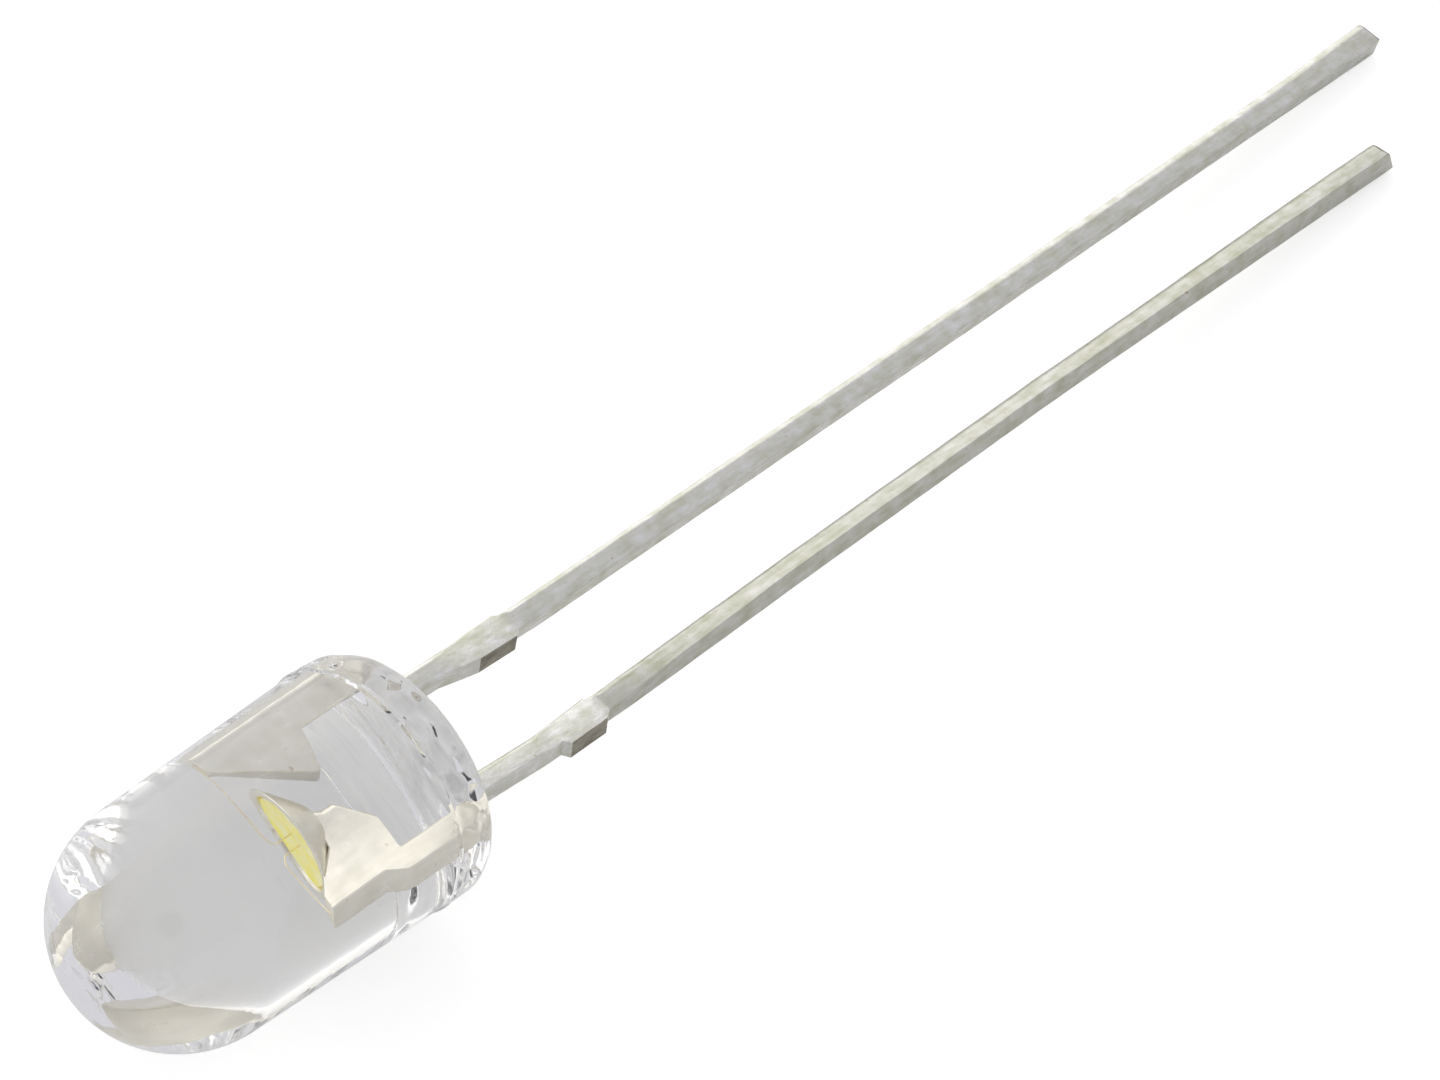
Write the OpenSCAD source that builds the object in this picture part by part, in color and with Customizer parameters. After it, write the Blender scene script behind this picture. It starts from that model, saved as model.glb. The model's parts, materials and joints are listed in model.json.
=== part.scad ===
// Through hole LED: round clear epoxy body with no flange, on two square stamped leads.
// It lies on its side as it comes to rest: the base rim and both lead tips touch the ground.
// Each piece is drawn upright, base face at z = 0, nose up, leads down, then laid down.

/* [Epoxy body] */
// Diameter of the half round nose
nose_d = 5; // [4.6:0.05:5.2]
// Diameter of the straight band round the base
base_d = 5.4; // [5.3:0.05:5.8]
// Height from the base face to the tip of the nose
body_h = 8.3; // [7.6:0.1:9.5]
// Height of the top of the straight band; the drafted wall starts here
band_h = 1.4; // [0.9:0.1:2]
// Radius of the rounded edge round the base face
base_edge_r = 0.5; // [0.2:0.05:0.7]

/* [Leads] */
// Lead spacing, centre to centre
pitch = 2.54; // [2.4:0.01:2.7]
// Width of each lead, measured across the pair
lead_w = 0.49; // [0.42:0.01:0.52]
// Thickness of the strip that both leads are stamped from
strip_t = 0.46; // [0.42:0.01:0.52]
// Length of the anode lead, from the base face to its tip
anode_len = 33.5; // [25:0.1:36]
// Length of the cathode lead, from the base face to its tip
cathode_len = 30.7; // [23:0.1:34]

/* [Thicker tin towards the tips] */
// Width of each lead at its tip, where the dipped tin is thickest
tip_w = 0.57; // [0.52:0.01:0.6]
// Thickness of each lead at its tip
tip_t = 0.56; // [0.52:0.01:0.6]
// Distance from the base face to where the leads start to thicken
swell_drop = 20; // [12:0.5:22]

/* [Cut tie bar stubs] */
// Distance from the base face to the stubs
stub_drop = 2.9; // [2.2:0.1:4]
// Length of each stub's cut face along the lead
stub_len = 1; // [0.6:0.05:1.4]
// How far the proud stub stands out from the side of its lead
stub_out = 0.17; // [0.08:0.01:0.3]
// How far the low stub on the other side stands out
stub_low_out = 0.06; // [0.03:0.01:0.15]
// Length of the shoulder above the proud stub
stub_shoulder = 0.1; // [0.05:0.05:0.3]
// Length of the run-out below the stubs, and above the low one
stub_run = 0.4; // [0.2:0.05:0.6]

/* [Anvil of the cathode] */
// Height of the flat underside of the anvil
anvil_foot_h = 1.78; // [1.5:0.02:1.9]
// How far the heel of the underside is from the centre line
anvil_heel_y = 0.42; // [0.3:0.02:0.6]
// Height of the toe, where the slope from the heel ends under the cup
anvil_toe_h = 2.36; // [2.2:0.02:2.5]
// Reach of the toe past the centre line
anvil_toe_y = 0.04; // [0:0.01:0.1]
// How far the outer side of the anvil is set in from the lead
anvil_inset = 0.23; // [0.1:0.01:0.3]
// Height where the outer side starts to step in
anvil_step_h = 1.88; // [1.6:0.02:2]
// Height of the ear, the flat land that takes the cathode bond wire
ear_h = 3.68; // [3.58:0.01:3.8]
// Width of the ear's flat land
ear_w = 0.27; // [0.22:0.01:0.3]

/* [Reflector cup] */
// Height of the rim of the cup
cup_rim_h = 3.45; // [3.38:0.01:3.5]
// Outer diameter of the rim
cup_rim_d = 1.52; // [1.46:0.01:1.6]
// Diameter of the mouth
cup_mouth_d = 1.3; // [1.2:0.01:1.38]
// Diameter of the flat floor
cup_floor_d = 0.72; // [0.62:0.01:0.8]
// Depth of the cup
cup_depth = 0.43; // [0.36:0.01:0.46]
// Thickness of the metal under the floor
cup_base_t = 0.22; // [0.18:0.01:0.26]
// Diameter of the foot of the cup's outer wall
cup_foot_d = 0.5; // [0.4:0.01:0.6]
// Radius of the bend from the foot to the wall
cup_bend_r = 0.3; // [0.1:0.02:0.36]

/* [Post of the anode] */
// Height of the top of the post
post_h = 3.74; // [3.6:0.02:3.9]
// Width of the top of the post
post_top_w = 0.34; // [0.26:0.01:0.38]
// Height of the toe of the post
post_toe_h = 2.06; // [1.95:0.01:2.2]
// Distance of the toe from the centre line
post_toe_y = 0.45; // [0.4:0.01:0.55]
// Height where the lower edge of the post meets the lead
post_root_h = 1.7; // [1.5:0.02:1.8]

/* [Chip and bond wires] */
// Side of the square chip
die_w = 0.3; // [0.24:0.01:0.36]
// Thickness of the chip
die_t = 0.1; // [0.08:0.01:0.15]
// Thickness of the glue under the chip
attach_t = 0.02; // [0.01:0.005:0.03]
// How far the glue shows past each side of the chip
attach_margin = 0.02; // [0.01:0.005:0.04]
// Distance from the cup's rim down to the phosphor where it meets the wall
phosphor_drop = 0.04; // [0.02:0.005:0.06]
// Depth of the dish in the phosphor's surface
phosphor_dish = 0.03; // [0.01:0.005:0.04]
// Diameter of the gold wire
wire_d = 0.025; // [0.02:0.001:0.04]
// Distance of each bond pad from the middle of the chip
pad_y = 0.09; // [0.06:0.005:0.1]
// Diameter of the ball at the chip end of each wire
ball_d = 0.08; // [0.06:0.005:0.1]
// Height of that ball
ball_h = 0.02; // [0.015:0.005:0.03]
// Height of the wire above the cup's rim where it starts to bend over
loop_rise = 0.26; // [0.22:0.01:0.4]
// Radius of the bend at the top of the wire
loop_r = 0.16; // [0.12:0.01:0.22]
// Length and width of the stitch at the far end of each wire
stitch_w = 0.08; // [0.06:0.005:0.1]

/* [Hidden] */
$fn = 96;

base_r = base_d / 2;
nose_r = nose_d / 2;
nose_z = body_h - nose_r;

// The two leads' sides, across the pair
cathode_out_y = -pitch / 2 - lead_w / 2;
cathode_in_y = -pitch / 2 + lead_w / 2;
anode_in_y = pitch / 2 - lead_w / 2;
anode_out_y = pitch / 2 + lead_w / 2;

// The cup's heights, from its rim down
cup_floor_h = cup_rim_h - cup_depth;
cup_foot_h = cup_floor_h - cup_base_t;
fill_h = cup_rim_h - phosphor_drop;

// The chip stands on its glue, on the floor of the cup
die_z = cup_floor_h + attach_t;
die_top_z = die_z + die_t;

// The wires land in the middle of the ear and of the post's top
anvil_out_y = cathode_out_y + anvil_inset;
ear_land_y = anvil_out_y + ear_w / 2;
post_land_y = anode_out_y - post_top_w / 2;
bend_z = cup_rim_h + loop_rise;

corner_steps = 6;

// A wire's bend is drawn a little thinner and laps into the straight lengths by this angle
bend_draw = 0.001;
bend_lap = 2;

// How the part comes to rest: the rim of the base and the lower edges of both tips touch the
// ground. The longer anode lead makes it roll about its own axis as well as tip.
tip_near_y = -pitch / 2 - tip_w / 2;
function roll_for(tip) = asin(tan(tip) * (anode_len - cathode_len) / pitch);
function rim_over(roll) = base_r - base_edge_r + tip_near_y * sin(roll) - tip_t / 2 * cos(roll);
function tip_for(rise, reach) = atan2(rise, reach) + asin(base_edge_r / norm([reach, rise]));
function settle(tip, turns) =
  turns == 0 ? tip : settle(tip_for(rim_over(roll_for(tip)), base_edge_r + cathode_len), turns - 1);
tip_angle = settle(4, 12);
roll_angle = roll_for(tip_angle);
rim_centre_r = base_r - base_edge_r;
rest_z = cos(tip_angle) * rim_centre_r + base_edge_r - sin(tip_angle) * base_edge_r;
nose_x = -nose_z * cos(tip_angle) - nose_r;
tip_corner_z = (pitch / 2 + tip_w / 2) * sin(roll_angle) + tip_t / 2 * cos(roll_angle);
tips_x = anode_len * cos(tip_angle) + tip_corner_z * sin(tip_angle);
rest_x = -(nose_x + tips_x) / 2;

module at_rest() {
  translate([rest_x, 0, rest_z])
    rotate([roll_angle, tip_angle, 0])
      rotate([0, -90, 0])
        children();
}

// One corner of an outline, at b between a and c, as an arc of radius b[2]
function unit(v) = v / norm(v);
function flat(p) = [p[0], p[1]];
function turned(from, to) = let (d = to - from) d > 180 ? d - 360 : d < -180 ? d + 360 : d;
function corner(a, b, c) =
  b[2] == 0 ? [flat(b)] :
  let (
    u = unit(flat(a) - flat(b)),
    v = unit(flat(c) - flat(b)),
    half = acos(u * v) / 2,
    centre = flat(b) + unit(u + v) * b[2] / sin(half),
    p = flat(b) + u * b[2] / tan(half) - centre,
    q = flat(b) + v * b[2] / tan(half) - centre,
    start = atan2(p[1], p[0]),
    sweep = turned(start, atan2(q[1], q[0]))
  )
  [for (k = [0:corner_steps])
    let (t = start + sweep * k / corner_steps) centre + b[2] * [cos(t), sin(t)]];
function rounded(pts) =
  let (n = len(pts))
  [for (i = [0:n - 1]) each corner(pts[(i + n - 1) % n], pts[i], pts[(i + 1) % n])];

// A stamped and tinned shape: its outline lies across the pair, and it is as thick as the strip
// down to where the tin starts to build up towards the tip
module stamped(outline, tip_z) {
  intersection() {
    rotate([90, 0, 90])
      linear_extrude(tip_t, center = true)
        polygon(rounded(outline));
    rotate([90, 0, 0])
      linear_extrude(pitch * 2, center = true)
        polygon([
          [-tip_t / 2, tip_z], [tip_t / 2, tip_z],
          [strip_t / 2, -swell_drop], [strip_t / 2, body_h],
          [-strip_t / 2, body_h], [-strip_t / 2, -swell_drop]
        ]);
  }
}

// The tinned end of a lead whose middle is at y, from its -y side round the tip to its +y side
function tinned_end(y, tip_z) = [
  [y - lead_w / 2, -swell_drop, 0],
  [y - tip_w / 2, tip_z, 0],
  [y + tip_w / 2, tip_z, 0],
  [y + lead_w / 2, -swell_drop, 0]
];

// The sides of a lead past the cut stubs, from the tip up and from the base face down
function low_stub(y) = [
  [y, -stub_drop - stub_len - stub_run, 0],
  [y + stub_low_out, -stub_drop - stub_len, 0],
  [y, -stub_drop + stub_run, 0]
];
function proud_stub(y) = [
  [y, -stub_drop + stub_shoulder, 0],
  [y - stub_out, -stub_drop, 0],
  [y - stub_out, -stub_drop - stub_len, 0],
  [y, -stub_drop - stub_len - stub_run, 0]
];

// The shape of the epoxy, cut along its axis: rounded base edge, straight band, drafted wall
// that meets the nose smoothly, and the half round nose
module body_section() {
  rise = nose_z - band_h;
  lean = atan2(base_r, rise) - asin(nose_r / norm([base_r, rise]));
  meet = [nose_r * cos(lean), nose_z + nose_r * sin(lean)];
  square([base_r - base_edge_r, base_edge_r]);
  intersection() {
    translate([base_r - base_edge_r, base_edge_r]) circle(base_edge_r);
    translate([base_r - base_edge_r, 0]) square(base_edge_r);
  }
  translate([0, base_edge_r]) square([base_r, band_h - base_edge_r]);
  polygon([[0, band_h], [base_r, band_h], meet, [0, meet[1]]]);
  intersection() {
    translate([0, nose_z]) circle(nose_r);
    translate([0, meet[1]]) square(nose_d);
  }
}

// The inside of the cup up to a height: a flat floor and a flared wall
module cup_section(top_h) {
  top_r = (cup_floor_d + (cup_mouth_d - cup_floor_d) * (top_h - cup_floor_h) / cup_depth) / 2;
  polygon([[0, cup_floor_h], [cup_floor_d / 2, cup_floor_h], [top_r, top_h], [0, top_h]]);
}

// The outside of the cup: a foot, a bend and a flared wall up to the rim
module cup_outside() {
  rotate_extrude()
    polygon(rounded([
      [0, cup_foot_h, 0],
      [cup_foot_d / 2, cup_foot_h, cup_bend_r],
      [cup_rim_d / 2, cup_rim_h, 0],
      [0, cup_rim_h, 0]
    ]));
}

// The cathode with its cup still full of metal
module cathode_blank() {
  stamped(concat(
    tinned_end(-pitch / 2, -cathode_len),
    low_stub(cathode_in_y),
    [
      [cathode_in_y, anvil_foot_h, 0.15],
      [-anvil_heel_y, anvil_foot_h, 0.15],
      [anvil_toe_y, anvil_toe_h, 0.12],
      [anvil_toe_y, cup_foot_h - 0.14, 0.05],
      [cup_foot_d / 4, cup_foot_h + cup_base_t / 4, 0],
      [0, cup_foot_h + cup_base_t / 2, 0],
      [-(cup_mouth_d + cup_rim_d) / 4, cup_rim_h - 0.02, 0],
      [anvil_out_y + ear_w, ear_h, 0.1],
      [anvil_out_y, ear_h, 0.04],
      [anvil_out_y, anvil_step_h + 2 * anvil_inset, 0.1],
      [cathode_out_y, anvil_step_h, 0.1]
    ],
    proud_stub(cathode_out_y)
  ), -cathode_len);
  cup_outside();
}

module cathode_piece() {
  difference() {
    cathode_blank();
    rotate_extrude() cup_section(cup_rim_h);
    translate([0, 0, cup_rim_h]) cylinder(d = cup_mouth_d, h = ear_h - cup_rim_h);
  }
}

module anode_piece() {
  stamped(concat(
    tinned_end(pitch / 2, -anode_len),
    low_stub(anode_out_y),
    [
      [anode_out_y, post_h, 0.04],
      [anode_out_y - post_top_w, post_h, 0.04],
      [post_toe_y, post_toe_h, 0.12],
      [anode_in_y, post_root_h, 0.15]
    ],
    proud_stub(anode_in_y)
  ), -anode_len);
}

// The phosphor before the chip and wires take their room: it fills the cup to just below the rim,
// and its surface is a shallow dish
module phosphor_blank() {
  mouth_r = cup_mouth_d / 2;
  dish_r = (mouth_r * mouth_r + phosphor_dish * phosphor_dish) / (2 * phosphor_dish);
  rotate_extrude()
    difference() {
      cup_section(fill_h);
      translate([0, fill_h - phosphor_dish + dish_r]) circle(dish_r, $fn = 720);
    }
}

module die_piece() {
  translate([-die_w / 2, -die_w / 2, die_z]) cube([die_w, die_w, die_t]);
}

module attach_piece() {
  attach_w = die_w + 2 * attach_margin;
  translate([-attach_w / 2, -attach_w / 2, cup_floor_h]) cube([attach_w, attach_w, attach_t]);
}

// A bond wire towards +y: ball on the chip, upright length, bend, slanting run, stitch on the metal
module bond_wire(land_y, land_z) {
  centre = [pad_y + loop_r, bend_z];
  land = [land_y, land_z + wire_d / 2];
  across = land - centre;
  reach = norm(across);
  end = atan2(across[1], across[0]) + acos(loop_r / reach);
  leave = centre + loop_r * [cos(end), sin(end)];
  run = norm(land - leave);
  fall = atan2(land[1] - leave[1], land[0] - leave[0]);
  translate([0, pad_y, die_top_z]) cylinder(d = ball_d, h = ball_h);
  translate([0, pad_y, die_top_z + ball_h / 2])
    cylinder(d = wire_d, h = bend_z - die_top_z - ball_h / 2, $fn = 24);
  rotate([90, 0, 90])
    translate([centre[0], centre[1], 0])
      rotate([0, 0, end - bend_lap])
        rotate_extrude(angle = 180 - end + 2 * bend_lap)
          translate([loop_r, 0]) circle(d = wire_d - bend_draw, $fn = 24);
  translate([0, leave[0], leave[1]])
    rotate([fall - 90, 0, 0])
      cylinder(d = wire_d, h = run, $fn = 24);
  translate([-stitch_w / 2, land_y - stitch_w / 2, land_z])
    cube([stitch_w, stitch_w, wire_d]);
}

module anode_wire_piece() {
  bond_wire(post_land_y, post_h);
}

module cathode_wire_piece() {
  rotate([0, 0, 180]) bond_wire(-ear_land_y, ear_h);
}

module epoxy_body() {
  color([0.93, 0.94, 0.96, 0.35])
    at_rest()
      difference() {
        rotate_extrude($fn = 180) body_section();
        cathode_blank();
        anode_piece();
        phosphor_blank();
        anode_wire_piece();
        cathode_wire_piece();
      }
}

module anode_lead() {
  color([0.72, 0.72, 0.66]) at_rest() anode_piece();
}

module cathode_lead() {
  color([0.72, 0.72, 0.66]) at_rest() cathode_piece();
}

module led_die() {
  color([0.55, 0.65, 0.8]) at_rest() die_piece();
}

module die_attach() {
  color([0.9, 0.9, 0.85]) at_rest() attach_piece();
}

module phosphor_fill() {
  color([0.95, 0.85, 0.25])
    at_rest()
      difference() {
        phosphor_blank();
        die_piece();
        attach_piece();
        anode_wire_piece();
        cathode_wire_piece();
      }
}

module anode_bond_wire() {
  color([0.85, 0.65, 0.25]) at_rest() anode_wire_piece();
}

module cathode_bond_wire() {
  color([0.85, 0.65, 0.25]) at_rest() cathode_wire_piece();
}

epoxy_body();
anode_lead();
cathode_lead();
led_die();
die_attach();
phosphor_fill();
anode_bond_wire();
cathode_bond_wire();
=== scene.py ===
import json
import math

import bmesh
import bpy
from mathutils import Matrix, Vector, noise


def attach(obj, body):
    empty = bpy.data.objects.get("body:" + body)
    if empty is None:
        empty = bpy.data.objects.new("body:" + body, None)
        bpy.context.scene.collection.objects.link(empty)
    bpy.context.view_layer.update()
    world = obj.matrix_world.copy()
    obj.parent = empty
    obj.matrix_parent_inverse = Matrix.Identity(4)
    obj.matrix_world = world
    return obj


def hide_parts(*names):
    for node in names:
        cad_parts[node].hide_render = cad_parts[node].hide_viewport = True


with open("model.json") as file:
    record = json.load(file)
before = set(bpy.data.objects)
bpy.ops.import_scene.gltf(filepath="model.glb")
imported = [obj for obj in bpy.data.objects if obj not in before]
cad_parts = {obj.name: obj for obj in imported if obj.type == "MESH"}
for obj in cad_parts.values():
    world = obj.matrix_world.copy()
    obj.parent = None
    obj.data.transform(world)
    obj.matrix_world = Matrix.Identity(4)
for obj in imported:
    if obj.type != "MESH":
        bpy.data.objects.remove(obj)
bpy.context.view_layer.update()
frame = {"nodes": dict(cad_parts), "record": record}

# ---------------------------------------------------------------------------
# Camera: a long lens close to the part, nose at the lower left, lead tips at the
# upper right. Lengths are in millimetres, except those named _M and those that
# the material nodes take, which are metres.
MM = 0.001
CAMERA_AT = (-51.31, -34.06, 71.36)
CAMERA_TURN = (39.891, -6.623, -46.643)
CAMERA_LENS = 110.97
CAMERA_FILM_W = 36
CAMERA_NEAR_M = 0.005
CAMERA_FAR_M = 10

eye_data = bpy.data.cameras.new("eye")
eye_data.lens = CAMERA_LENS
eye_data.sensor_width = CAMERA_FILM_W
eye_data.clip_start = CAMERA_NEAR_M
eye_data.clip_end = CAMERA_FAR_M
eye = bpy.data.objects.new("eye", eye_data)
eye.location = [v * MM for v in CAMERA_AT]
eye.rotation_euler = [math.radians(a) for a in CAMERA_TURN]
bpy.context.scene.collection.objects.link(eye)
scene = bpy.context.scene
scene.camera = eye
scene.view_settings.view_transform = "Standard"

# Light has to pass through the epoxy many times before it comes out again.
LIGHT_BOUNCES = 32
scene.cycles.max_bounces = LIGHT_BOUNCES
scene.cycles.transmission_bounces = LIGHT_BOUNCES
scene.cycles.glossy_bounces = LIGHT_BOUNCES

# ---------------------------------------------------------------------------
# Floor: a pale table. It reads as white straight from the camera, and as grey
# through the epoxy and in the metal. There it carries painted light: a glow that
# grows from FLOOR_NEAR_M to FLOOR_FAR_M along y, on the anode's side, so the floor
# seen there is paler than the lamps alone make it.
FLOOR_HALF_M = 0.6
FLOOR_GAP_M = 0.00002
FLOOR_GREY = (0.68, 0.68, 0.67, 1)
FLOOR_LIFT = 0.58
FLOOR_LIFT_REFLECTED = 0.16
FLOOR_PAINTED_GLOW_FAR = 0.42
FLOOR_NEAR_M = 0.003
FLOOR_FAR_M = 0.014


def node_tools(tree):
    """Empties a node tree, and returns how to add a node to it and how to tie two sockets."""
    tree.nodes.clear()

    def add(kind, sockets=None, **settings):
        node = tree.nodes.new(kind)
        for key, value in settings.items():
            setattr(node, key, value)
        for key, value in (sockets or {}).items():
            node.inputs[key].default_value = value
        return node

    return add, tree.links.new


def new_material(name):
    """An empty material, its surface socket, and how to add and tie its nodes."""
    mat = bpy.data.materials.new(name)
    mat.use_nodes = True
    add, tie = node_tools(mat.node_tree)
    surface = add("ShaderNodeOutputMaterial").inputs["Surface"]
    return mat, surface, add, tie


mat, surface, add, tie = new_material("floor_card")
card = add("ShaderNodeBsdfDiffuse", {"Color": FLOOR_GREY})
path = add("ShaderNodeLightPath")
bounced = add("ShaderNodeMath", operation="MAXIMUM")
where = add("ShaderNodeTexCoord")
split = add("ShaderNodeSeparateXYZ")
# Painted light: the floor's glow in the epoxy and the metal grows along y.
reach = add("ShaderNodeMapRange", {
    "From Min": FLOOR_NEAR_M, "From Max": FLOOR_FAR_M,
    "To Min": FLOOR_LIFT_REFLECTED, "To Max": FLOOR_PAINTED_GLOW_FAR,
})
bounced_lift = add("ShaderNodeMath", operation="MULTIPLY")
lift = add("ShaderNodeMath", {1: FLOOR_LIFT}, operation="MULTIPLY_ADD")
glow = add("ShaderNodeEmission", {"Color": (1, 1, 1, 1)})
both = add("ShaderNodeAddShader")
tie(path.outputs["Is Glossy Ray"], bounced.inputs[0])
tie(path.outputs["Is Transmission Ray"], bounced.inputs[1])
tie(where.outputs["Object"], split.inputs[0])
tie(split.outputs["Y"], reach.inputs["Value"])
tie(bounced.outputs[0], bounced_lift.inputs[0])
tie(reach.outputs["Result"], bounced_lift.inputs[1])
tie(path.outputs["Is Camera Ray"], lift.inputs[0])
tie(bounced_lift.outputs[0], lift.inputs[2])
tie(lift.outputs[0], glow.inputs["Strength"])
tie(card.outputs[0], both.inputs[0])
tie(glow.outputs[0], both.inputs[1])
tie(both.outputs[0], surface)

h = FLOOR_HALF_M
floor_mesh = bpy.data.meshes.new("floor")
floor_mesh.from_pydata([(-h, -h, 0), (h, -h, 0), (h, h, 0), (-h, h, 0)], [], [(0, 1, 2, 3)])
floor_mesh.materials.append(mat)
floor = bpy.data.objects.new("floor", floor_mesh)
floor.location.z = -FLOOR_GAP_M
scene.collection.objects.link(floor)

# ---------------------------------------------------------------------------
# Light: one wide soft sky, brighter over the anode's side. The camera's own front
# is a dark round patch in it, which the epoxy and the metal show back.
SKY_LOW = (0.66, 0.66, 0.69, 1)
SKY_HIGH = (1.35, 1.34, 1.30, 1)
SKY_LOW_UP_TO = 0.22
SKY_HIGH_FROM = 0.55
LENS_FRONT = (0.03, 0.03, 0.035, 1)
LENS_FRONT_HALF_ANGLE = 8
LENS_FRONT_BLUR = 5

# Sockets of a Mix node that mixes two colours, which go by number.
FACTOR, COLOUR_A, COLOUR_B, COLOUR = 0, 6, 7, 2

world = bpy.data.worlds.new("studio")
scene.world = world
world.use_nodes = True
add, tie = node_tools(world.node_tree)
surface = add("ShaderNodeOutputWorld").inputs["Surface"]
where = add("ShaderNodeTexCoord")
split = add("ShaderNodeSeparateXYZ")
across = add("ShaderNodeMapRange", {"From Min": SKY_LOW_UP_TO, "From Max": SKY_HIGH_FROM})
tint = add("ShaderNodeMix", {COLOUR_A: SKY_LOW, COLOUR_B: SKY_HIGH}, data_type="RGBA")
sky = add("ShaderNodeBackground", {"Strength": 1})
white = add("ShaderNodeBackground", {"Color": (1, 1, 1, 1), "Strength": 1})
to_eye = add("ShaderNodeVectorMath", {1: Vector(CAMERA_AT).normalized()}, operation="DOT_PRODUCT")
in_front = add("ShaderNodeMapRange", {
    "From Min": math.cos(math.radians(LENS_FRONT_HALF_ANGLE + LENS_FRONT_BLUR)),
    "From Max": math.cos(math.radians(LENS_FRONT_HALF_ANGLE)),
})
shown = add("ShaderNodeMix", {COLOUR_B: LENS_FRONT}, data_type="RGBA")
path = add("ShaderNodeLightPath")
mix = add("ShaderNodeMixShader")
tie(where.outputs["Generated"], split.inputs[0])
tie(split.outputs["Y"], across.inputs["Value"])
tie(across.outputs["Result"], tint.inputs[FACTOR])
tie(where.outputs["Generated"], to_eye.inputs[0])
tie(to_eye.outputs["Value"], in_front.inputs["Value"])
tie(in_front.outputs["Result"], shown.inputs[FACTOR])
tie(tint.outputs[COLOUR], shown.inputs[COLOUR_A])
tie(shown.outputs[COLOUR], sky.inputs["Color"])
tie(path.outputs["Is Camera Ray"], mix.inputs[0])
tie(sky.outputs[0], mix.inputs[1])
tie(white.outputs[0], mix.inputs[2])
tie(mix.outputs[0], surface)

# ---------------------------------------------------------------------------
# How the part lies. Every piece below is drawn upright, base face at z = 0 and
# nose up, then laid down on its base rim and its two lead tips.
PITCH = 2.54
ANODE_LEN = 33.5
CATHODE_LEN = 30.7

mounts = {m["name"]: m for m in frame["record"]["mounts"]}
base_at = Vector(mounts["seat_face"]["pos_m"])
tips_way = Vector(mounts["seat_face"]["axis"])
tip_angle = math.atan2(-tips_way.z, tips_way.x)
roll_angle = math.asin(math.tan(tip_angle) * (ANODE_LEN - CATHODE_LEN) / PITCH)
lying = (
    Matrix.Translation(base_at)
    @ Matrix.Rotation(tip_angle, 4, "Y")
    @ Matrix.Rotation(roll_angle, 4, "X")
    @ Matrix.Rotation(math.radians(-90), 4, "Y")
)


def piece(name, bm, materials, node):
    """Lays an upright mesh down as a finished piece in place of its plain solid."""
    mesh = bpy.data.meshes.new(name)
    bm.transform(lying @ Matrix.Scale(MM, 4))
    bm.to_mesh(mesh)
    bm.free()
    for material in materials:
        mesh.materials.append(material)
    obj = bpy.data.objects.new(name, mesh)
    scene.collection.objects.link(obj)
    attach(obj, "root")
    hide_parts(node)


# ---------------------------------------------------------------------------
# Shared look of plated metal: streaks along the strip, broad stains, shallow
# dents, a fine grain and small dull specks. Every plated piece below uses it
# with its own colours.
SPECK_STRENGTH = 0.8
STAIN_SHARE = 0.5
GRAIN_DEPTH = 0.25
DENT_DEPTH = 1.6
RELIEF_M = 0.00001

# Sockets of a Mix node that mixes two numbers.
NUMBER_A, NUMBER_B, NUMBER = 2, 3, 0

look = bpy.data.node_groups.new("plated_metal", "ShaderNodeTree")
add, tie = node_tools(look)
for name, kind in (
    ("Bright", "Color"), ("Dull", "Color"), ("Speck", "Color"), ("Smooth", "Float"), ("Rough", "Float"),
):
    look.interface.new_socket(name, in_out="INPUT", socket_type="NodeSocket" + kind)
for name, kind in (("Color", "Color"), ("Roughness", "Float"), ("Height", "Float")):
    look.interface.new_socket(name, in_out="OUTPUT", socket_type="NodeSocket" + kind)
given = add("NodeGroupInput")
result = add("NodeGroupOutput")
where = add("ShaderNodeTexCoord")
upright = add(
    "ShaderNodeMapping", {"Location": base_at, "Rotation": lying.to_euler()}, vector_type="TEXTURE",
)
along = add("ShaderNodeMapping", {"Scale": (8000, 8000, 1500)})
streaks = add("ShaderNodeTexNoise", {"Scale": 1, "Detail": 4, "Roughness": 0.6})
stains = add("ShaderNodeTexNoise", {"Scale": 2600, "Detail": 3, "Roughness": 0.55})
dents = add("ShaderNodeTexNoise", {"Scale": 6500, "Detail": 3, "Roughness": 0.5})
grain = add("ShaderNodeTexNoise", {"Scale": 26000, "Detail": 2, "Roughness": 0.6})
specks = add("ShaderNodeTexNoise", {"Scale": 5200, "Detail": 1})
speck_cut = add("ShaderNodeMapRange", {"From Min": 0.73, "From Max": 0.83, "To Max": SPECK_STRENGTH})
stain_part = add("ShaderNodeMath", {1: STAIN_SHARE}, operation="MULTIPLY")
blend = add("ShaderNodeMath", {1: 1 - STAIN_SHARE}, operation="MULTIPLY_ADD")
spread = add("ShaderNodeMapRange", {"From Min": 0.36, "From Max": 0.64})
tone = add("ShaderNodeMix", data_type="RGBA")
spotted = add("ShaderNodeMix", data_type="RGBA")
finish = add("ShaderNodeMix")
fine = add("ShaderNodeMath", {1: GRAIN_DEPTH}, operation="MULTIPLY_ADD")
deep = add("ShaderNodeMath", {1: DENT_DEPTH}, operation="MULTIPLY_ADD")
tie(where.outputs["Object"], upright.inputs["Vector"])
tie(upright.outputs[0], along.inputs["Vector"])
tie(along.outputs[0], streaks.inputs["Vector"])
for texture in (stains, dents, grain, specks):
    tie(where.outputs["Object"], texture.inputs["Vector"])
tie(stains.outputs["Fac"], stain_part.inputs[0])
tie(streaks.outputs["Fac"], blend.inputs[0])
tie(stain_part.outputs[0], blend.inputs[2])
tie(blend.outputs[0], spread.inputs["Value"])
tie(spread.outputs["Result"], tone.inputs[FACTOR])
tie(given.outputs["Dull"], tone.inputs[COLOUR_A])
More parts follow.
